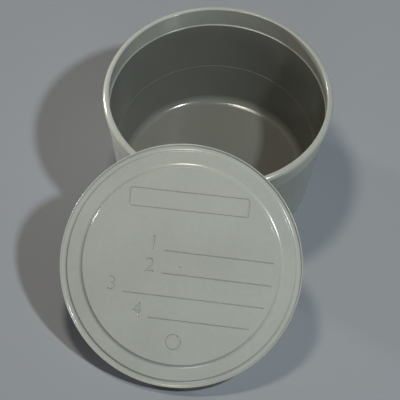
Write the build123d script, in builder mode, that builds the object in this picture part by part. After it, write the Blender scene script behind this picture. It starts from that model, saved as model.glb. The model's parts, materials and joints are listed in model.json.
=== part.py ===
from build123d import *
from math import asin, atan2, cos, degrees, radians, sin, sqrt, tan
import os

# Snap-lid specimen cup: a squat round tub that stands on its foot, with its lid taken off and
# leaning on the rim. Millimetres, +Z up. The origin is the centre of the foot, on the surface
# that the tub stands on, and the lid lies towards -Y.

# Tub: outside
cup_height = 55.0
rim_radius = 49.0
foot_radius = 40.6
wall = 1.4
neck_depth = 11.0
neck_draft = 2.1
foot_rounding = 0.65

# Tub: snap bead round the rim
bead_height = 2.5
bead_projection = 1.4
bead_undercut = 0.8
bead_crown = 2.0

# Tub: inside
seal_depth = 10.0
ledge_width = 0.6
floor_thickness = 1.5
floor_fillet = 9.5
core_step = 0.12
core_step_height = 21.4

# Tub: underside
floor_lift = 1.1
foot_ring_width = 1.3

# Lid: disc
lid_wall = 1.1
panel_margin = 9.45
panel_rise = 0.9
panel_step_run = 0.8
step_blend = 1.7
moat_depth = 0.72
moat_width = 1.4
shoulder_run = 0.3
lip_rise = 0.6
lip_width = 0.5
lip_run = 0.6
lip_projection = 0.4
lip_height = 1.6
lip_edge = 0.2

# Lid: skirt that snaps over the bead, and plug ring that seals inside the mouth
skirt_wall = 1.3
skirt_foot_rounding = 0.45
snap_lead = 1.3
snap_grip = 0.5
plug_depth = 2.8
plug_wall = 1.0
plug_lead = 0.5

# Lid: write-on lines cut into the panel
line_count = 4
line_pitch = 9.5
first_line = 5.5
line_starts = [-7.5, -8.0, -23.0, -11.3]
line_width = 0.6
line_depth = 0.25
line_margin = 2.7
writing_turn = 3.4

# Gate mark at the centre of each moulding
gate_radius = 0.7
gate_depth = 0.2

# Fits
rim_clearance = 0.3
plug_clearance = 0.15
rest_gap = 0.3

# How the loose lid lies: this much of its width stands past the rim, up the slope, and the
# place where it clears the bead is looked for in this many steps
lean_overhang = 10.2
quarter_turn_steps = 900

# Edge roundings of the mouldings
fine_edge = 0.15
soft_edge = 0.3

# The most that a rounding takes of the wall or step that it lies on
crown_share = 0.8
mouth_share = 0.15
edge_share = 0.4
undercut_share = 0.3
foot_share = 0.55
foot_inside_share = 0.2

# Tub, worked out
neck_radius = rim_radius - bead_projection
neck_top = cup_height - bead_height - bead_undercut
shoulder_height = cup_height - neck_depth
shoulder_radius = neck_radius - (neck_top - shoulder_height) * tan(radians(neck_draft))
taper = (shoulder_radius - foot_radius) / shoulder_height
ledge_height = cup_height - seal_depth
mouth_radius = shoulder_radius - wall + ledge_width
floor_top = floor_lift + floor_thickness
ring_inner = foot_radius - foot_ring_width
rim_wall = rim_radius - mouth_radius
crown = min(bead_crown, crown_share * rim_wall)
mouth_edge = min(soft_edge, mouth_share * rim_wall)
ledge_edge = min(soft_edge, edge_share * ledge_width)
undercut_edge = min(soft_edge, undercut_share * bead_undercut)
foot_edge = min(foot_rounding, foot_share * foot_ring_width)
foot_inside_edge = min(soft_edge, foot_inside_share * foot_ring_width)

# Lid, worked out in its own upright frame: heights from the bottom of the skirt
skirt_depth = bead_height + bead_undercut + snap_lead
band_top = skirt_depth + lid_wall
panel_top = band_top + panel_rise
panel_underside = panel_top - lid_wall
moat_top = band_top - moat_depth
lip_top = moat_top + lip_rise
skirt_inner = rim_radius + rim_clearance
skirt_outer = skirt_inner + skirt_wall
lid_radius = skirt_outer + lip_projection
panel_radius = lid_radius - panel_margin
lip_inner = lid_radius - lip_width
moat_outer = lip_inner - lip_run
moat_inner = moat_outer - moat_width
snap_radius = rim_radius - snap_grip
plug_outer = mouth_radius - plug_clearance
plug_inner = plug_outer - plug_wall
plug_bottom = skirt_depth - plug_depth
step_slope = atan2(panel_rise, panel_step_run)
step_inset = lid_wall * tan(step_slope / 2)
crown_seat = crown + rim_clearance

# Resting place of the lid: its skirt stands on the surface and leans clear of the bead
lean_angle = asin(cup_height / (2 * lid_radius - lean_overhang))
lid_height = (
    (skirt_outer - skirt_foot_rounding) * sin(lean_angle)
    - skirt_foot_rounding * cos(lean_angle)
    + skirt_foot_rounding
)


def outer_radius(height):
    """Outside of the tapered wall at a height."""
    return foot_radius + taper * height


def inner_radius(height):
    """Inside of the tapered wall at a height."""
    return outer_radius(height) - wall


def split_corners(corners):
    """Points and roundings of a section given as (radius, height, rounding) corners."""
    points = [(radius, height) for radius, height, rounding in corners]
    roundings = [rounding for radius, height, rounding in corners]
    return points, roundings


def clear_of_rim(edge_radius, edge_height, rounding):
    """Y of the lid's centre at which one round edge of the lid lies rest_gap off the bead."""
    crown_radius = rim_radius - crown
    crown_height = cup_height - crown
    reach = crown + rounding + rest_gap
    places = []
    for step in range(quarter_turn_steps):
        turn = radians(90) * step / quarter_turn_steps
        across = edge_radius * sin(turn)
        upslope = edge_radius * cos(turn)
        drop = lid_height + upslope * sin(lean_angle) + edge_height * cos(lean_angle) - crown_height
        if abs(drop) < reach:
            around = crown_radius + sqrt(reach**2 - drop**2)
            forward = upslope * cos(lean_angle) - edge_height * sin(lean_angle)
            if around > across:
                places.append(-sqrt(around**2 - across**2) - forward)
    return min(places, default=-rim_radius)


lid_edges = [
    (skirt_inner + soft_edge, soft_edge, soft_edge),
    (snap_radius + soft_edge, snap_lead, soft_edge),
    (plug_outer - soft_edge, plug_bottom + soft_edge, soft_edge),
]
lid_place = min(clear_of_rim(*edge) for edge in lid_edges)
lid_centre = Vector(0, lid_place, lid_height)
lid_axis = Vector(0, -sin(lean_angle), cos(lean_angle))
up_the_slope = Vector(0, cos(lean_angle), sin(lean_angle))

cup_corners = [
    (0, floor_lift, 0),
    (ring_inner, floor_lift, 0),
    (ring_inner, 0, foot_inside_edge),
    (foot_radius, 0, foot_edge),
    (shoulder_radius, shoulder_height, 0),
    (neck_radius, neck_top, soft_edge),
    (rim_radius, cup_height - bead_height, undercut_edge),
    (rim_radius, cup_height, crown),
    (mouth_radius, cup_height, mouth_edge),
    (mouth_radius, ledge_height, 0),
    (mouth_radius - ledge_width, ledge_height, ledge_edge),
    (inner_radius(core_step_height), core_step_height, 0),
    (inner_radius(core_step_height) - core_step, core_step_height, 0),
    (inner_radius(floor_top) - core_step, floor_top, floor_fillet),
    (0, floor_top, 0),
]

with BuildPart() as cup:
    points, roundings = split_corners(cup_corners)
    with BuildSketch(Plane.XZ):
        with BuildLine():
            FilletPolyline(*points, radius=roundings, close=True)
        make_face()
    revolve(axis=Axis.Z)

    # Groove inside the foot ring: its roof follows the floor's fillet at an even thickness
    wall_run = inner_radius(core_step_height) - inner_radius(floor_top)
    wall_slope = atan2(wall_run, core_step_height - floor_top)
    fillet_reach = floor_fillet * tan((radians(90) - wall_slope) / 2)
    fillet_centre = inner_radius(floor_top) - core_step - fillet_reach
    roof_radius = floor_fillet + floor_thickness
    roof_centre = floor_top + floor_fillet
    roof_turn = asin((ring_inner - fillet_centre) / roof_radius)
    roof_end = roof_centre - roof_radius * cos(roof_turn)
    roof_middle = (
        fillet_centre + roof_radius * sin(roof_turn / 2),
        roof_centre - roof_radius * cos(roof_turn / 2),
    )
    with BuildSketch(Plane.XZ):
        with BuildLine():
            ThreePointArc((fillet_centre, floor_lift), roof_middle, (ring_inner, roof_end))
            Polyline((ring_inner, roof_end), (ring_inner, floor_lift), (fillet_centre, floor_lift))
        make_face()
    revolve(axis=Axis.Z, mode=Mode.SUBTRACT)

    # Gate mark in the middle of the underside
    with BuildSketch(Plane.XY.offset(floor_lift)):
        Circle(gate_radius)
    extrude(amount=gate_depth, mode=Mode.SUBTRACT)

lid_corners = [
    (0, panel_underside, 0),
    (panel_radius - step_inset, panel_underside, soft_edge),
    (panel_radius + panel_step_run - step_inset, skirt_depth, soft_edge),
    (plug_inner, skirt_depth, soft_edge),
    (plug_inner, plug_bottom, fine_edge),
    (plug_outer - plug_lead, plug_bottom, fine_edge),
    (plug_outer, plug_bottom + plug_lead, soft_edge),
    (plug_outer, skirt_depth, 0),
    (skirt_inner, skirt_depth, crown_seat),
    (skirt_inner, snap_lead + skirt_inner - snap_radius, fine_edge),
    (snap_radius, snap_lead, soft_edge),
    (skirt_inner, 0, soft_edge),
    (skirt_outer, 0, skirt_foot_rounding),
    (skirt_outer, lip_top - lip_height, soft_edge),
    (lid_radius, lip_top - lip_height + lip_projection, soft_edge),
    (lid_radius, lip_top, lip_edge),
    (lip_inner, lip_top, lip_edge),
    (moat_outer, moat_top, fine_edge),
    (moat_inner, moat_top, fine_edge),
    (moat_inner - shoulder_run, band_top, soft_edge),
    (panel_radius + panel_step_run, band_top, step_blend),
    (panel_radius, panel_top, soft_edge),
    (gate_radius, panel_top, 0),
    (gate_radius, panel_top - gate_depth, 0),
    (0, panel_top - gate_depth, 0),
]

with BuildPart() as lid:
    points, roundings = split_corners(lid_corners)
    with BuildSketch(Plane(origin=lid_centre, x_dir=(1, 0, 0), z_dir=-up_the_slope)):
        with BuildLine():
            FilletPolyline(*points, radius=roundings, close=True)
        make_face()
    revolve(axis=Axis(lid_centre, lid_axis))

    # Write-on lines: each runs out to the same ring just inside the panel's step
    panel_plane = Plane(origin=lid_centre + lid_axis * panel_top, x_dir=(1, 0, 0), z_dir=lid_axis)
    with BuildSketch(panel_plane.rotated((0, 0, writing_turn))):
        for line in range(line_count):
            line_y = first_line - line * line_pitch
            line_end = sqrt((panel_radius - line_margin) ** 2 - line_y**2)
            line_length = line_end - line_starts[line]
            with Locations((line_starts[line] + line_length / 2, line_y)):
                Rectangle(line_length, line_width)
    extrude(amount=-line_depth, mode=Mode.SUBTRACT)

cup.part.label = "cup"
lid.part.label = "lid"

os.makedirs("parts", exist_ok=True)
export_step(cup.part, "parts/cup.step")
export_step(lid.part, "parts/lid.step")

print("lean", round(degrees(lean_angle), 3), "degrees")
print("lid centre", [round(value, 3) for value in lid_centre])
print("lid axis", [round(value, 6) for value in lid_axis])
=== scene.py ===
import json
from math import asin, atan2, cos, degrees, pi, radians, sin, tan

import bmesh
import bpy
from mathutils import Matrix, Vector


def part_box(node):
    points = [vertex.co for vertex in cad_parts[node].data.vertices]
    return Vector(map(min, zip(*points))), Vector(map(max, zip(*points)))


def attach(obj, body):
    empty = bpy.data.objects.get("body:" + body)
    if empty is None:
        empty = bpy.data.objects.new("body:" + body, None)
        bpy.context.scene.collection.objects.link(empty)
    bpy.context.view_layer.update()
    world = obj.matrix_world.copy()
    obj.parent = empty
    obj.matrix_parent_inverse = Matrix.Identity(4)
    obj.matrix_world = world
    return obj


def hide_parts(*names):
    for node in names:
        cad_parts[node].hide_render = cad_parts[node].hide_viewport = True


bl_info = {
    "name": "Specimen Cup",
    "version": (1, 0, 0),
    "blender": (4, 5, 0),
    "location": "View3D > Sidebar > Specimen Cup",
    "description": "Builds a snap-lid specimen cup with its loose lid leaning on the rim",
    "category": "Add Mesh",
}

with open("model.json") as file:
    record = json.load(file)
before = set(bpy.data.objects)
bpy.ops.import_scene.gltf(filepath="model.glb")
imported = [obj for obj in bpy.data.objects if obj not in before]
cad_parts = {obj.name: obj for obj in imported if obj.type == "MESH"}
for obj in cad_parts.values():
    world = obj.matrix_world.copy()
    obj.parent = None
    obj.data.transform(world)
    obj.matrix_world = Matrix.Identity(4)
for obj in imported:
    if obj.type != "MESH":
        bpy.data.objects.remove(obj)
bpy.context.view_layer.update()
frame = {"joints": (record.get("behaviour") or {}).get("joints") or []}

MM = 0.001
LID_PATH = Vector(frame["joints"][0]["axis"]).normalized()

# Roundings that the sizes below leave free
FINE_EDGE = 0.15 * MM
STEP_EDGE = 0.24 * MM
SOFT_EDGE = 0.3 * MM
FOOT_INSIDE_ROUNDING = 0.26 * MM
FOOT_ROUNDING = 0.65 * MM
SKIRT_FOOT_ROUNDING = 0.45 * MM
LIP_EDGE = 0.2 * MM
LIP_INNER_EDGE = 0.1 * MM
MOAT_OUTER_ROUNDING = 0.6 * MM
MOAT_INNER_ROUNDING = 1.0 * MM
PANEL_STEP_ROUNDING = 1.9 * MM

# The neck leans outwards by this much
NECK_DRAFT = radians(2.1)

# How far the lip stands out from the skirt
LIP_PROJECTION = 0.4 * MM

# Play between the plug ring and the mouth, and between the lid and the bead
PLUG_PLAY = 0.15 * MM
BEAD_PLAY = 0.3 * MM

# Two vertices or planes closer than this are the same
SAME_PLACE = 0.001 * MM

# Steps round the tub and round the lid, and the angle under which two faces are shaded as one
TUB_STEPS = 288
LID_STEPS = 320
SMOOTH_ANGLE = radians(34)

# Write-on lines: where each one starts, the first one's height above the lid's middle, the room
# left at the panel's edge, and the distance from a numeral to its line
LINE_STARTS = (-7.5 * MM, -8.0 * MM, -23.0 * MM, -11.3 * MM)
FIRST_LINE = 5.5 * MM
LINE_MARGIN = 2.4 * MM
NUMERAL_GAP = 5.0 * MM

# Plain frame above the lines, and plain ring below them
FIELD_SIZE = (51.0 * MM, 8.4 * MM)
FIELD_CORNER = 1.6 * MM
FIELD_LINE = 0.8 * MM
FIELD_PLACE = (-1.3 * MM, 26.6 * MM)
FIELD_TURN = radians(4.0)
RING_RADIUS = 3.5 * MM
RING_LINE = 0.74 * MM
RING_PLACE = (2.3 * MM, -32.0 * MM)

# Width of the sloped wall of an engraved line, and of a numeral
LINE_SLOPE = 0.3 * MM
NUMERAL_SLOPE = 0.16 * MM

# Grain of the plastic, in waves per metre
CLOUD_SCALE = 35
SHEEN_SCALE = 55
WAVE_SCALE = 90
SPECK_SCALE = 140
MOTTLE_SCALE = 420
GRAIN_SCALE = 1900

# Range that noise mostly stays in
NOISE_SPAN = (0.3, 0.7)

# Specks: where the edge of a speck fades, how rare they are, and how dark or pale they get
SPECK_EDGE = (0.018, 0.034)
SPECK_PICK = (0.86, 0.87)
SPECK_TINTS = (0.55, 1.5)

# Hair scratches: the turn and the scale of each set, how far they are drawn out, where a hair
# fades, and how much rougher it is than the plastic
SCRATCH_SETS = ((0.5, 60), (2.1, 75))
SCRATCH_STRETCH = 28
SCRATCH_EDGE = (0.66, 0.74)
SCRATCH_ROUGHNESS = 0.14

# Depth of the long moulding waves, of the tool's grain and of a scratch
WAVE_DEPTH = 0.05 * MM
GRAIN_DEPTH = 0.006 * MM
SCRATCH_DEPTH = 0.004 * MM

# Surface of the floor, and how far it reaches
FLOOR_RADIUS = 6
FLOOR_ROUGHNESS = 0.85
FLOOR_SHEEN = 0.2

# Point that the near lamps look at
LAMP_AIM = Vector((0, -0.035, 0.02))

# Photograph's viewpoint: place, directions of its right and its up, lens and sensor width in mm
CAMERA_PLACE = (0.156112, -1.034034, 1.392468)
CAMERA_RIGHT = (0.979859, 0.197084, 0.032166)
CAMERA_UP = (-0.177327, 0.784683, 0.593994)
CAMERA_LENS = 360.0
CAMERA_SENSOR = 36.0


def length(label, note, millimetres):
    """A size that the sidebar shows."""
    return bpy.props.FloatProperty(
        name=label, description=note, default=millimetres * MM, min=0.0, precision=5, unit="LENGTH"
    )


def number(label, note, value, top=1.0):
    """A plain number that the sidebar shows."""
    return bpy.props.FloatProperty(
        name=label, description=note, default=value, min=0.0, max=top, precision=3
    )


def colour(label, note, value):
    """A colour that the sidebar shows."""
    return bpy.props.FloatVectorProperty(
        name=label, description=note, default=value, min=0.0, max=1.0, size=3, subtype="COLOR"
    )


class SpecimenTubSizes(bpy.types.PropertyGroup):
    """Sizes of the tub."""

    height: length("Height", "From the foot to the top of the rim", 55.0)
    rim_radius: length("Rim radius", "Outside of the snap bead", 49.0)
    foot_radius: length("Foot radius", "Outside of the wall at the foot", 40.6)
    wall: length("Wall", "Thickness of the tapered wall", 1.4)
    neck_depth: length("Neck depth", "From the rim down to where the taper starts", 11.0)
    bead_height: length("Bead height", "Height of the snap bead", 2.5)
    bead_projection: length("Bead projection", "How far the bead stands out", 1.4)
    bead_undercut: length("Bead undercut", "Height of the slope under the bead", 0.8)
    bead_crown: length("Bead crown", "Rounding of the top of the rim", 2.0)
    seal_depth: length("Seal depth", "From the rim down to the ledge inside", 10.0)
    ledge_width: length("Ledge width", "Width of the ledge inside", 0.6)
    floor_thickness: length("Floor", "Thickness of the floor", 0.95)
    floor_fillet: length("Floor rounding", "Rounding between floor and wall inside", 3.6)
    witness_height: length("Witness line", "Height of the faint step inside", 21.4)
    witness_step: length("Witness step", "Depth of the faint step inside", 0.18)
    floor_lift: length("Floor lift", "How far the floor stands above the foot", 0.4)
    foot_ring: length("Foot ring", "Width of the ring that the tub stands on", 1.3)


class SpecimenLidSizes(bpy.types.PropertyGroup):
    """Sizes of the lid."""

    radius: length("Radius", "Outer edge of the lip", 51.0)
    wall: length("Wall", "Thickness of the disc", 1.1)
    skirt_depth: length("Skirt depth", "From the foot of the skirt to the underside of the band", 4.6)
    skirt_wall: length("Skirt wall", "Thickness of the skirt", 1.3)
    snap_grip: length("Snap grip", "How far the snap ridge reaches under the bead", 0.5)
    plug_depth: length("Plug depth", "Height of the ring that seals inside the mouth", 2.8)
    plug_wall: length("Plug wall", "Thickness of the ring that seals inside the mouth", 1.0)
    panel_margin: length("Panel margin", "From the lid's edge in to the raised panel", 9.75)
    panel_rise: length("Panel rise", "How far the panel stands above the band", 1.2)
    moat_width: length("Moat width", "Floor of the moat inside the lip", 2.1)
    moat_depth: length("Moat depth", "How far the moat lies under the band", 1.0)
    lip_rise: length("Lip rise", "How far the lip stands above the moat", 0.88)
    engraving: length("Engraving depth", "Depth of the lines and numerals", 0.4)
    line_width: length("Line width", "Width of a write-on line", 0.62)
    line_pitch: length("Line pitch", "From one write-on line to the next", 9.5)
    numeral_height: length("Numeral size", "Size of the numerals before the lines", 8.6)
    writing_turn: bpy.props.FloatProperty(
        name="Writing turn",
        description="How far the lines are turned on the lid",
        default=radians(3.4),
        subtype="ANGLE",
    )


class SpecimenFinish(bpy.types.PropertyGroup):
    """Colour and surface of the plastic, with a darker inside colour that is painted shade."""

    tub_colour: colour("Tub colour", "Outside of the tub", (0.352, 0.357, 0.315))
    # Painted shade: the floor and the wall inside, below the ledge, get a far darker colour than the
    # outside, standing for the shade that falls deep in the tub
    inside_shade_colour: colour("Tub inside", "Inside of the tub, below the ledge", (0.142, 0.143, 0.124))
    lid_colour: colour("Lid colour", "Plastic of the lid", (0.378, 0.387, 0.348))
    roughness: number("Roughness", "Surface roughness of the moulded plastic", 0.17)
    mottling: number("Mottling", "Unevenness of the colour", 0.05)
    scratches: number("Scratches", "Strength of the handling scratches", 0.25)


class SpecimenStage(bpy.types.PropertyGroup):
    """Floor and lamps."""

    floor_colour: colour("Floor", "Colour of the floor", (0.278, 0.290, 0.309))
    key_power: number("Key lamp", "Power of the lamp at the right, in watts", 14.7, 100.0)
    overhead_power: number("Overhead lamp", "Power of the lamp overhead, in watts", 1.8, 100.0)
    front_light: number("Front light", "Strength of the even low light from the front", 0.42, 10.0)
    left_light: number("Left light", "Strength of the even low light from the left, behind", 4.0, 10.0)
    sky: number("Sky", "Strength of the even light from all round", 0.045, 2.0)


def leave_nothing_selected():
    """Object mode with nothing selected, so that the next operator acts on new things alone."""
    if bpy.context.object is not None and bpy.context.object.mode != "OBJECT":
        bpy.ops.object.mode_set(mode="OBJECT")
    bpy.ops.object.select_all(action="DESELECT")


def edit_whole():
    """Edit mode with every vertex of the active piece selected."""
    bpy.ops.object.mode_set(mode="EDIT")
    bpy.ops.mesh.select_mode(type="VERT")
    bpy.ops.mesh.select_all(action="SELECT")


def name_piece(name):
    """Names the new object and its mesh."""
    piece = bpy.context.object
    piece.name = name
    piece.data.name = name
    return piece


def choose(piece, kind, wanted):
    """Selects the vertices, edges or faces of an edited piece that meet a test, and nothing else."""
    mesh = bmesh.from_edit_mesh(piece.data)
    bpy.ops.mesh.select_all(action="DESELECT")
    bpy.ops.mesh.select_mode(type=kind)
    parts = {"VERT": mesh.verts, "EDGE": mesh.edges, "FACE": mesh.faces}[kind]
    for part in parts:
        part.select_set(wanted(part))
    mesh.select_flush_mode()
    bmesh.update_edit_mesh(piece.data)


def rounding_steps(rounding, turn):
    """Steps on an arc: 4 to 18 on a quarter turn, the most from 4 mm up, and never under 3."""
    quarter_steps = 4 + 14 * min(1.0, rounding / (4 * MM))
    return max(3, round(degrees(turn) / 90 * quarter_steps))


def draw_half_section(name, corners):
    """Wire of a half section, extruded from corner to corner, with each corner then rounded."""
    leave_nothing_selected()
    bpy.ops.mesh.primitive_plane_add(size=MM)
    piece = name_piece(name)
    edit_whole()
    bpy.ops.mesh.merge(type="CENTER")
    radius, height, _ = corners[0]
    bpy.ops.transform.translate(value=(radius, 0, height))
    for (radius, height, _), (next_radius, next_height, _) in zip(corners, corners[1:]):
        step = (next_radius - radius, 0, next_height - height)
        bpy.ops.mesh.extrude_region_move(TRANSFORM_OT_translate={"value": step})
    for before, corner, after in zip(corners, corners[1:], corners[2:]):
        radius, height, rounding = corner
        if rounding > 0:
            coming = atan2(height - before[1], radius - before[0])
            going = atan2(after[1] - height, after[0] - radius)
            turn = abs((going - coming + pi) % (2 * pi) - pi)
            place = Vector((radius, 0, height))
            choose(piece, "VERT", lambda vertex: (vertex.co - place).length < SAME_PLACE)
            bpy.ops.mesh.bevel(
                offset_type="ABSOLUTE",
                offset=rounding * tan(turn / 2),
                segments=rounding_steps(rounding, turn),
                affect="VERTICES",
                clamp_overlap=False,
            )
    return piece


def spin_section(steps):
    """Turns the edited half section once round the upright axis and closes its seam and poles."""
    bpy.ops.mesh.select_mode(type="VERT")
    bpy.ops.mesh.select_all(action="SELECT")
    bpy.ops.mesh.spin(steps=steps, angle=2 * pi, center=(0, 0, 0), axis=(0, 0, 1))
    bpy.ops.mesh.select_all(action="SELECT")
    bpy.ops.mesh.remove_doubles(threshold=2 * SAME_PLACE)
    bpy.ops.mesh.select_all(action="SELECT")
    bpy.ops.mesh.normals_make_consistent(inside=False)
    bpy.ops.object.mode_set(mode="OBJECT")


def finish_shading(piece):
    """Smooth roundings beside flats that stay flat."""
    leave_nothing_selected()
    piece.select_set(True)
    bpy.context.view_layer.objects.active = piece
    bpy.ops.object.shade_smooth_by_angle(angle=SMOOTH_ANGLE)
    bpy.ops.object.modifier_add(type="WEIGHTED_NORMAL")
    piece.modifiers[-1].keep_sharp = True
    bpy.ops.object.modifier_apply(modifier=piece.modifiers[-1].name)


def neck_radii(tub):
    """Outer radii of the neck, at its top and at the shoulder, and the radius of the mouth."""
    neck_radius = tub.rim_radius - tub.bead_projection
    neck_rise = tub.neck_depth - tub.bead_height - tub.bead_undercut
    shoulder_radius = neck_radius - neck_rise * tan(NECK_DRAFT)
    mouth_radius = shoulder_radius - tub.wall + tub.ledge_width
    return neck_radius, shoulder_radius, mouth_radius


def tub_corners(tub):
    """Half section of the tub as (radius, height, rounding), from under the floor to its top."""
    neck_radius, shoulder_radius, mouth_radius = neck_radii(tub)
    neck_top = tub.height - tub.bead_height - tub.bead_undercut
    shoulder_height = tub.height - tub.neck_depth
    taper = (shoulder_radius - tub.foot_radius) / shoulder_height
    floor_top = tub.floor_lift + tub.floor_thickness
    ring_inner = tub.foot_radius - tub.foot_ring
    inner_foot = tub.foot_radius + taper * floor_top - tub.wall - tub.witness_step
    inner_line = tub.foot_radius + taper * tub.witness_height - tub.wall

    # Roof of the groove inside the foot ring: it follows the floor's rounding
    slope = atan2(inner_line - tub.witness_step - inner_foot, tub.witness_height - floor_top)
    rounding_centre = inner_foot - tub.floor_fillet * tan((pi / 2 - slope) / 2)
    roof_radius = tub.floor_fillet + tub.floor_thickness
    roof_turn = asin((ring_inner - rounding_centre) / roof_radius)
    roof_corner = rounding_centre + roof_radius * tan(roof_turn / 2)
    roof_end = floor_top + tub.floor_fillet - roof_radius * cos(roof_turn)

    gate_radius = 0.7 * MM
    gate_depth = 0.2 * MM
    return [
        (0, tub.floor_lift + gate_depth, 0),
        (gate_radius, tub.floor_lift + gate_depth, 0),
        (gate_radius, tub.floor_lift, 0),
        (roof_corner, tub.floor_lift, roof_radius),
        (ring_inner, roof_end, 0),
        (ring_inner, 0, FOOT_INSIDE_ROUNDING),
        (tub.foot_radius, 0, FOOT_ROUNDING),
        (shoulder_radius, shoulder_height, SOFT_EDGE),
        (neck_radius, neck_top, SOFT_EDGE),
        (tub.rim_radius, tub.height - tub.bead_height, STEP_EDGE),
        (tub.rim_radius, tub.height, tub.bead_crown),
        (mouth_radius, tub.height, SOFT_EDGE),
        (mouth_radius, tub.height - tub.seal_depth, FINE_EDGE),
        (mouth_radius - tub.ledge_width, tub.height - tub.seal_depth, STEP_EDGE),
        (inner_line, tub.witness_height, 0),
        (inner_line - tub.witness_step, tub.witness_height, 0),
        (inner_foot, floor_top, tub.floor_fillet),
        (0, floor_top, 0),
    ]


def paint_inside_shade(piece, tub):
    """Gives the second material, a darker colour that is painted shade, to the floor and the wall inside,
    up to the ledge.
    """
    ledge_height = tub.height - tub.seal_depth
    floor_top = tub.floor_lift + tub.floor_thickness

    def lies_inside(face):
        place = face.calc_center_median()
        faces_inward = face.normal.x * place.x + face.normal.y * place.y < SAME_PLACE
        between = floor_top - 10 * SAME_PLACE < place.z < ledge_height - 10 * SAME_PLACE
        return faces_inward and between and face.normal.z > -0.01

    bpy.ops.object.mode_set(mode="EDIT")
    choose(piece, "FACE", lies_inside)
    piece.active_material_index = 1
    bpy.ops.object.material_slot_assign()
    bpy.ops.object.mode_set(mode="OBJECT")


def lid_heights(lid):
    """Heights of the band, the panel, the moat and the lip above the foot of the skirt."""
    band_top = lid.skirt_depth + lid.wall
    moat_top = band_top - lid.moat_depth
    return band_top, band_top + lid.panel_rise, moat_top, moat_top + lid.lip_rise


def lid_corners(lid, tub):
    """Half section of the upright lid as (radius, height, rounding), from its underside to its top."""
    band_top, panel_top, moat_top, lip_top = lid_heights(lid)
    plug_outer = neck_radii(tub)[2] - PLUG_PLAY
    plug_inner = plug_outer - lid.plug_wall
    plug_bottom = lid.skirt_depth - lid.plug_depth
    plug_lead = 0.5 * MM
    skirt_outer = lid.radius - LIP_PROJECTION
    skirt_inner = skirt_outer - lid.skirt_wall
    snap_radius = tub.rim_radius - lid.snap_grip
    snap_lead = 1.3 * MM
    panel_radius = lid.radius - lid.panel_margin
    step_run = 1.08 * MM
    step_inset = lid.wall * tan(atan2(lid.panel_rise, step_run) / 2)
    lip_foot = lip_top - 1.6 * MM
    lip_inner = lid.radius - 0.55 * MM
    lip_slope = 0.15 * MM
    moat_outer = lip_inner - 0.1 * MM
    moat_inner = moat_outer - lid.moat_width
    shoulder = moat_inner - 0.3 * MM
    gate_radius = 0.6 * MM
    gate_rise = 0.35 * MM
    return [
        (0, panel_top - lid.wall, 0),
        (panel_radius - step_inset, panel_top - lid.wall, SOFT_EDGE),
        (panel_radius + step_run - step_inset, lid.skirt_depth, SOFT_EDGE),
        (plug_inner, lid.skirt_depth, SOFT_EDGE),
        (plug_inner, plug_bottom, FINE_EDGE),
        (plug_outer - plug_lead, plug_bottom, FINE_EDGE),
        (plug_outer, plug_bottom + plug_lead, SOFT_EDGE),
        (plug_outer, lid.skirt_depth, 0),
        (skirt_inner, lid.skirt_depth, tub.bead_crown + BEAD_PLAY),
        (skirt_inner, snap_lead + skirt_inner - snap_radius, FINE_EDGE),
        (snap_radius, snap_lead, SOFT_EDGE),
        (skirt_inner, 0, SOFT_EDGE),
        (skirt_outer, 0, SKIRT_FOOT_ROUNDING),
        (skirt_outer, lip_foot, SOFT_EDGE),
        (lid.radius, lip_foot + LIP_PROJECTION, SOFT_EDGE),
        (lid.radius, lip_top, LIP_EDGE),
        (lip_inner, lip_top - lip_slope, LIP_INNER_EDGE),
        (moat_outer, moat_top, MOAT_OUTER_ROUNDING),
        (moat_inner, moat_top, MOAT_INNER_ROUNDING),
        (shoulder, band_top, SOFT_EDGE),
        (panel_radius + step_run, band_top, PANEL_STEP_ROUNDING),
        (panel_radius, panel_top, FINE_EDGE),
        (gate_radius, panel_top, 0),
        (gate_radius, panel_top + gate_rise, SOFT_EDGE),
        (0, panel_top + gate_rise, 0),
    ]


def add_flat(name, width, depth, corner):
    """Flat rectangle at the origin with rounded corners, in edit mode."""
    leave_nothing_selected()
    bpy.ops.mesh.primitive_plane_add(size=1)
    flat = name_piece(name)
    edit_whole()
    bpy.ops.transform.resize(value=(width, depth, 1))
    if corner > 0:
        bpy.ops.mesh.bevel(
            offset_type="ABSOLUTE", offset=corner, segments=6, affect="VERTICES", clamp_overlap=False
        )
    return flat


def open_ring(width):
    """Leaves only a band of this width inside the outline of the edited flat."""
    bpy.ops.mesh.select_all(action="SELECT")
    bpy.ops.mesh.inset(thickness=width, depth=0)
    bpy.ops.mesh.delete(type="FACE")


def set_down(flat, place, turn):
    """Lays an edited flat at its place on the panel, and bakes the place into its mesh."""
    if bpy.context.object.mode != "OBJECT":
        bpy.ops.object.mode_set(mode="OBJECT")
    flat.rotation_euler = (0, 0, turn)
    flat.location = place
    bpy.ops.object.transform_apply(location=True, rotation=True, scale=True)


def add_numeral(text, size):
    """One numeral as a flat mesh, its foot at the origin."""
    leave_nothing_selected()
    bpy.ops.object.text_add()
    numeral = name_piece("numeral_" + text)
    numeral.data.body = text
    numeral.data.size = size
    numeral.data.resolution_u = 3
    numeral.data.align_x = "CENTER"
    bpy.ops.object.convert(target="MESH")
    numeral = bpy.context.object
    edit_whole()
    bpy.ops.mesh.remove_doubles(threshold=SAME_PLACE)
    return numeral


def raise_cutter(flat, depth, wall):
    """Makes a flat on the panel into a cutter that reaches down to this depth with sloped walls."""
    edit_whole()
    bpy.ops.mesh.extrude_region_move(TRANSFORM_OT_translate={"value": (0, 0, MM)})
    bpy.ops.mesh.select_all(action="SELECT")
    bpy.ops.mesh.normals_make_consistent(inside=False)
    choose(flat, "FACE", lambda face: face.normal.z < -0.5)
    bpy.ops.mesh.inset(thickness=wall, depth=depth, use_even_offset=False)
    bpy.ops.object.mode_set(mode="OBJECT")


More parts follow.
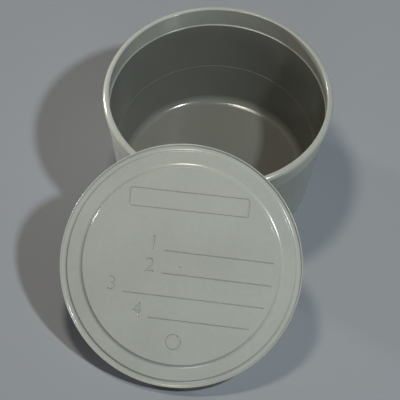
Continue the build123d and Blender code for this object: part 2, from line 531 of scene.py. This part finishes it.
def clear_panel(piece, panel_top):
    """Takes the fan of edges out of the flat panel, so that the cuts meet one clean face."""
    bpy.ops.object.mode_set(mode="EDIT")
    choose(
        piece,
        "FACE",
        lambda face: face.normal.z > 0.9999 and abs(face.calc_center_median().z - panel_top) < SAME_PLACE,
    )
    bpy.ops.mesh.dissolve_limited(angle_limit=radians(0.1))
    bpy.ops.object.mode_set(mode="OBJECT")


def engraving_flats(lid):
    """The numbered lines, the plain field above them and the ring below, as flats with their walls."""
    panel_top = lid_heights(lid)[1]
    reach = lid.radius - lid.panel_margin - LINE_MARGIN
    turned = Matrix.Rotation(lid.writing_turn, 3, "Z")
    flats = []
    for line, start in enumerate(LINE_STARTS):
        up = FIRST_LINE - line * lid.line_pitch
        end = (reach**2 - up**2) ** 0.5
        flat = add_flat("write_on_line", end - start, lid.line_width, 0)
        set_down(flat, turned @ Vector(((start + end) / 2, up, panel_top)), lid.writing_turn)
        flats.append((flat, LINE_SLOPE))
        numeral = add_numeral(str(line + 1), lid.numeral_height)
        set_down(numeral, turned @ Vector((start - NUMERAL_GAP, up, panel_top)), lid.writing_turn)
        flats.append((numeral, NUMERAL_SLOPE))
    field = add_flat("title_field", *FIELD_SIZE, FIELD_CORNER)
    open_ring(FIELD_LINE)
    set_down(field, Vector((*FIELD_PLACE, panel_top)), FIELD_TURN)
    flats.append((field, LINE_SLOPE))
    leave_nothing_selected()
    bpy.ops.mesh.primitive_circle_add(vertices=72, radius=RING_RADIUS, fill_type="NGON")
    ring = name_piece("mould_ring")
    edit_whole()
    open_ring(RING_LINE)
    set_down(ring, Vector((*RING_PLACE, panel_top)), 0)
    flats.append((ring, LINE_SLOPE))
    return flats


def engrave(piece, flats, depth):
    """Cuts all the flats into a piece in one go, each with walls of its own width."""
    for flat, wall in flats:
        leave_nothing_selected()
        flat.select_set(True)
        bpy.context.view_layer.objects.active = flat
        raise_cutter(flat, depth, wall)
    leave_nothing_selected()
    for flat, _ in flats:
        flat.select_set(True)
    bpy.context.view_layer.objects.active = flats[0][0]
    bpy.ops.object.join()
    cutter = bpy.context.object
    leave_nothing_selected()
    piece.select_set(True)
    bpy.context.view_layer.objects.active = piece
    bpy.ops.object.modifier_add(type="BOOLEAN")
    cut = piece.modifiers[-1]
    cut.operation = "DIFFERENCE"
    cut.solver = "EXACT"
    cut.object = cutter
    bpy.ops.object.modifier_apply(modifier=cut.name)
    if len(piece.data.polygons) == 0:
        raise RuntimeError("The engraving left nothing of " + piece.name)
    leave_nothing_selected()
    cutter.select_set(True)
    bpy.ops.object.delete()


def link(tree, source, output, target, entry):
    """Joins one node's output to another's input."""
    tree.links.new(source.outputs[output], target.inputs[entry])


def noise(tree, vector, scale, detail, roughness=0.5):
    """Noise at a scale in waves per metre."""
    node = tree.nodes.new("ShaderNodeTexNoise")
    node.inputs["Scale"].default_value = scale
    node.inputs["Detail"].default_value = detail
    node.inputs["Roughness"].default_value = roughness
    tree.links.new(vector, node.inputs["Vector"])
    return node


def remap(tree, value, low, high, to_low, to_high):
    """Maps a value from one range to another, clamped."""
    node = tree.nodes.new("ShaderNodeMapRange")
    for entry, end in zip(("From Min", "From Max", "To Min", "To Max"), (low, high, to_low, to_high)):
        node.inputs[entry].default_value = end
    tree.links.new(value, node.inputs["Value"])
    return node.outputs["Result"]


def combine(tree, operation, first, second):
    """Result of one maths operation on two values."""
    node = tree.nodes.new("ShaderNodeMath")
    node.operation = operation
    tree.links.new(first, node.inputs[0])
    tree.links.new(second, node.inputs[1])
    return node.outputs["Value"]


def stretched(tree, vector, turn, stretch):
    """The same coordinates, turned in the piece's plane and drawn out one way."""
    node = tree.nodes.new("ShaderNodeMapping")
    node.inputs["Rotation"].default_value = (0, 0, turn)
    node.inputs["Scale"].default_value = (1, stretch, 1)
    tree.links.new(vector, node.inputs["Vector"])
    return node.outputs["Vector"]


def satin_plastic(name, tint, finish, centre, tilt):
    """Moulded polyethylene: satin, slightly waxy, faintly mottled, with hair scratches and a few specks."""
    material = bpy.data.materials.new(name)
    material.use_nodes = True
    tree = material.node_tree
    shader = tree.nodes["Principled BSDF"]
    shader.inputs["IOR"].default_value = 1.51
    shader.inputs["Specular IOR Level"].default_value = 0.5

    place = tree.nodes.new("ShaderNodeTexCoord")
    lay = tree.nodes.new("ShaderNodeMapping")
    lay.vector_type = "TEXTURE"
    lay.inputs["Location"].default_value = centre
    lay.inputs["Rotation"].default_value = (tilt, 0, 0)
    link(tree, place, "Object", lay, "Vector")
    vector = lay.outputs["Vector"]

    # Colour: broad cloudiness from the melt and a finer mottle
    clouds = noise(tree, vector, CLOUD_SCALE, 3)
    mottle = noise(tree, vector, MOTTLE_SCALE, 4, 0.6)
    broad, fine = finish.mottling, finish.mottling / 2
    cloud_value = remap(tree, clouds.outputs["Fac"], *NOISE_SPAN, 1 - broad, 1 + broad)
    mottle_value = remap(tree, mottle.outputs["Fac"], *NOISE_SPAN, 1 - fine, 1 + fine)
    depth_value = combine(tree, "MULTIPLY", cloud_value, mottle_value)

    # A few pale and dark specks in the plastic
    specks = tree.nodes.new("ShaderNodeTexVoronoi")
    specks.inputs["Scale"].default_value = SPECK_SCALE
    link(tree, lay, "Vector", specks, "Vector")
    speck = remap(tree, specks.outputs["Distance"], *SPECK_EDGE, 1, 0)
    pick = tree.nodes.new("ShaderNodeSeparateColor")
    link(tree, specks, "Color", pick, "Color")
    picked = remap(tree, pick.outputs["Red"], *SPECK_PICK, 0, 1)
    speck_mask = combine(tree, "MULTIPLY", speck, picked)
    speck_tint = remap(tree, pick.outputs["Green"], 0.45, 0.55, *SPECK_TINTS)

    tinted = tree.nodes.new("ShaderNodeMix")
    tinted.data_type = "RGBA"
    tinted.blend_type = "MULTIPLY"
    tinted.inputs["Factor"].default_value = 1
    tinted.inputs["A"].default_value = (*tint, 1)
    tree.links.new(depth_value, tinted.inputs["B"])
    speckled = tree.nodes.new("ShaderNodeMix")
    speckled.data_type = "RGBA"
    speckled.blend_type = "MULTIPLY"
    tree.links.new(speck_mask, speckled.inputs["Factor"])
    link(tree, tinted, "Result", speckled, "A")
    tree.links.new(speck_tint, speckled.inputs["B"])
    link(tree, speckled, "Result", shader, "Base Color")

    # Hair scratches in two directions, as roughness and relief
    hairs = []
    for turn, scale in SCRATCH_SETS:
        drawn = stretched(tree, vector, turn, SCRATCH_STRETCH)
        hair = noise(tree, drawn, scale, 5, 0.7)
        hairs.append(remap(tree, hair.outputs["Fac"], *SCRATCH_EDGE, 0, 1))
    scratches = combine(tree, "MAXIMUM", *hairs)
    sheen = noise(tree, vector, SHEEN_SCALE, 4, 0.55)
    smoothest, roughest = finish.roughness - 0.03, finish.roughness + 0.04
    patchy = remap(tree, sheen.outputs["Fac"], *NOISE_SPAN, smoothest, roughest)
    scuffed = tree.nodes.new("ShaderNodeMath")
    scuffed.operation = "MULTIPLY_ADD"
    scuffed.inputs[1].default_value = SCRATCH_ROUGHNESS * finish.scratches
    tree.links.new(scratches, scuffed.inputs[0])
    tree.links.new(patchy, scuffed.inputs[2])
    link(tree, scuffed, "Value", shader, "Roughness")

    # Relief: long moulding waves, fine grain of the tool, and the scratches
    waves = noise(tree, vector, WAVE_SCALE, 2)
    grain = noise(tree, vector, GRAIN_SCALE, 3, 0.6)
    relief = None
    for source, distance, strength in (
        (waves.outputs["Fac"], WAVE_DEPTH, 0.5),
        (grain.outputs["Fac"], GRAIN_DEPTH, 0.6),
        (scratches, -SCRATCH_DEPTH, finish.scratches),
    ):
        bump = tree.nodes.new("ShaderNodeBump")
        bump.inputs["Distance"].default_value = distance
        bump.inputs["Strength"].default_value = strength
        tree.links.new(source, bump.inputs["Height"])
        if relief is not None:
            link(tree, relief, "Normal", bump, "Normal")
        relief = bump
    link(tree, relief, "Normal", shader, "Normal")
    return material


def lean_lid(piece, lid):
    """Leans the upright lid so that its axis is the way that it lifts off and its skirt stands."""
    tilt = asin(-LID_PATH.y)
    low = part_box("lid")[0]
    foot_radius = lid.radius - LIP_PROJECTION - SKIRT_FOOT_ROUNDING
    height = foot_radius * sin(tilt) - SKIRT_FOOT_ROUNDING * cos(tilt) + SKIRT_FOOT_ROUNDING
    lip_top = lid_heights(lid)[3]
    forward = low.y + (lid.radius - LIP_EDGE) * cos(tilt) + (lip_top - LIP_EDGE) * sin(tilt) + LIP_EDGE
    centre = Vector((0, forward, height))
    piece.rotation_euler = (tilt, 0, 0)
    piece.location = centre
    bpy.ops.object.transform_apply(location=True, rotation=True, scale=True)
    return centre, tilt


class SPECIMEN_CUP_OT_tub(bpy.types.Operator):
    """Add the tub, standing on its foot"""

    bl_idname = "specimen_cup.tub"
    bl_label = "Add Tub"
    bl_options = {"REGISTER", "UNDO"}

    def execute(self, context):
        scene = context.scene
        piece = draw_half_section("tub", tub_corners(scene.specimen_tub))
        spin_section(TUB_STEPS)
        finish_shading(piece)
        finish = scene.specimen_finish
        outside = satin_plastic("tub_plastic", finish.tub_colour, finish, (0, 0, 0), 0)
        # Second material: the same plastic painted darker, as painted shade for the dim inside of the tub
        inside = satin_plastic("tub_inside_painted_shade", finish.inside_shade_colour, finish, (0, 0, 0), 0)
        piece.data.materials.append(outside)
        piece.data.materials.append(inside)
        paint_inside_shade(piece, scene.specimen_tub)
        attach(piece, "cup")
        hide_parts("cup")
        return {"FINISHED"}


class SPECIMEN_CUP_OT_lid(bpy.types.Operator):
    """Add the loose lid, leaning on the rim with its writing up"""

    bl_idname = "specimen_cup.lid"
    bl_label = "Add Lid"
    bl_options = {"REGISTER", "UNDO"}

    def execute(self, context):
        scene = context.scene
        lid = scene.specimen_lid
        piece = draw_half_section("leaning_lid", lid_corners(lid, scene.specimen_tub))
        spin_section(LID_STEPS)
        clear_panel(piece, lid_heights(lid)[1])
        engrave(piece, engraving_flats(lid), lid.engraving)
        finish_shading(piece)
        centre, tilt = lean_lid(piece, lid)
        finish = scene.specimen_finish
        plastic = satin_plastic("lid_plastic", finish.lid_colour, finish, centre, tilt)
        piece.data.materials.append(plastic)
        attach(piece, "lid")
        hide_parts("lid")
        return {"FINISHED"}


def add_lamp(name, direction, distance, size, watts, tint):
    """Soft round lamp that looks at the object from a direction."""
    way = Vector(direction).normalized()
    leave_nothing_selected()
    bpy.ops.object.light_add(type="AREA", location=LAMP_AIM + way * distance)
    lamp = bpy.context.object
    lamp.name = name
    lamp.rotation_euler = way.to_track_quat("Z", "Y").to_euler()
    lamp.data.shape = "DISK"
    lamp.data.size = size
    lamp.data.energy = watts
    lamp.data.color = tint


def add_far_light(name, direction, spread, strength):
    """Even light from far away in one direction, as soft as a source this many degrees wide."""
    leave_nothing_selected()
    bpy.ops.object.light_add(type="SUN", location=Vector(direction).normalized())
    light = bpy.context.object
    light.name = name
    light.rotation_euler = Vector(direction).to_track_quat("Z", "Y").to_euler()
    light.data.angle = radians(spread)
    light.data.energy = strength


def studio_surround(stage):
    """Faint even light from all round, with a plain backdrop where it is seen or mirrored."""
    world = bpy.data.worlds.new("studio")
    world.use_nodes = True
    tree = world.node_tree
    light = tree.nodes["Background"]
    light.inputs["Color"].default_value = (1, 1, 1, 1)
    light.inputs["Strength"].default_value = stage.sky
    backdrop = tree.nodes.new("ShaderNodeBackground")
    backdrop.inputs["Color"].default_value = (*stage.floor_colour, 1)
    rays = tree.nodes.new("ShaderNodeLightPath")
    seen = rays.outputs["Is Camera Ray"]
    for kind in ("Is Glossy Ray", "Is Transmission Ray"):
        seen = combine(tree, "MAXIMUM", seen, rays.outputs[kind])
    mixed = tree.nodes.new("ShaderNodeMixShader")
    tree.links.new(seen, mixed.inputs["Fac"])
    tree.links.new(light.outputs["Background"], mixed.inputs[1])
    tree.links.new(backdrop.outputs["Background"], mixed.inputs[2])
    link(tree, mixed, "Shader", tree.nodes["World Output"], "Surface")
    return world


class SPECIMEN_CUP_OT_stage(bpy.types.Operator):
    """Add the floor, the soft lamps and the camera at the photograph's viewpoint"""

    bl_idname = "specimen_cup.stage"
    bl_label = "Add Stage"
    bl_options = {"REGISTER", "UNDO"}

    def execute(self, context):
        scene = context.scene
        stage = scene.specimen_stage
        leave_nothing_selected()
        bpy.ops.mesh.primitive_circle_add(vertices=96, radius=FLOOR_RADIUS, fill_type="NGON")
        floor = name_piece("floor")
        paper = bpy.data.materials.new("floor_paper")
        paper.use_nodes = True
        shader = paper.node_tree.nodes["Principled BSDF"]
        shader.inputs["Base Color"].default_value = (*stage.floor_colour, 1)
        shader.inputs["Roughness"].default_value = FLOOR_ROUGHNESS
        shader.inputs["Specular IOR Level"].default_value = FLOOR_SHEEN
        floor.data.materials.append(paper)

        add_lamp(
            "key_lamp",
            direction=(0.484, -0.207, 0.850),
            distance=1.6,
            size=0.11,
            watts=stage.key_power,
            tint=(0.84, 0.95, 1.0),
        )
        add_lamp(
            "overhead_lamp",
            direction=(-0.169, 0.071, 0.983),
            distance=0.7,
            size=0.11,
            watts=stage.overhead_power,
            tint=(1.0, 0.92, 0.80),
        )
        add_far_light("front_light", (0.08, -0.97, 0.24), spread=12, strength=stage.front_light)
        add_far_light("left_light", (-0.94, 0.33, 0.05), spread=8, strength=stage.left_light)
        scene.world = studio_surround(stage)

        leave_nothing_selected()
        bpy.ops.object.camera_add(location=CAMERA_PLACE)
        camera = context.object
        camera.name = "camera"
        right, up = Vector(CAMERA_RIGHT), Vector(CAMERA_UP)
        turned = Matrix((right, up, right.cross(up))).transposed()
        camera.rotation_euler = turned.to_euler()
        camera.data.lens = CAMERA_LENS
        camera.data.sensor_width = CAMERA_SENSOR
        camera.data.clip_start = 0.05
        camera.data.clip_end = 50
        scene.camera = camera
        scene.view_settings.view_transform = "Standard"
        return {"FINISHED"}


class SPECIMEN_CUP_PT_sidebar(bpy.types.Panel):
    """Sizes, colours and the operators that use them."""

    bl_idname = "SPECIMEN_CUP_PT_sidebar"
    bl_label = "Specimen Cup"
    bl_space_type = "VIEW_3D"
    bl_region_type = "UI"
    bl_category = "Specimen Cup"

    def draw(self, context):
        for operator in OPERATORS:
            self.layout.operator(operator.bl_idname)
        for holder in SETTINGS:
            settings = getattr(context.scene, holder)
            box = self.layout.box()
            for key in settings.bl_rna.properties.keys():
                if key not in ("rna_type", "name"):
                    box.prop(settings, key)


OPERATORS = (SPECIMEN_CUP_OT_stage, SPECIMEN_CUP_OT_tub, SPECIMEN_CUP_OT_lid)
SETTINGS = {
    "specimen_tub": SpecimenTubSizes,
    "specimen_lid": SpecimenLidSizes,
    "specimen_finish": SpecimenFinish,
    "specimen_stage": SpecimenStage,
}


def register():
    for kind in (*SETTINGS.values(), *OPERATORS, SPECIMEN_CUP_PT_sidebar):
        bpy.utils.register_class(kind)
    for holder, kind in SETTINGS.items():
        setattr(bpy.types.Scene, holder, bpy.props.PointerProperty(type=kind))


def unregister():
    for holder in SETTINGS:
        delattr(bpy.types.Scene, holder)
    for kind in reversed((*SETTINGS.values(), *OPERATORS, SPECIMEN_CUP_PT_sidebar)):
        bpy.utils.unregister_class(kind)


def main():
    register()
    bpy.ops.specimen_cup.stage()
    bpy.ops.specimen_cup.tub()
    bpy.ops.specimen_cup.lid()


if __name__ == "__main__":
    main()
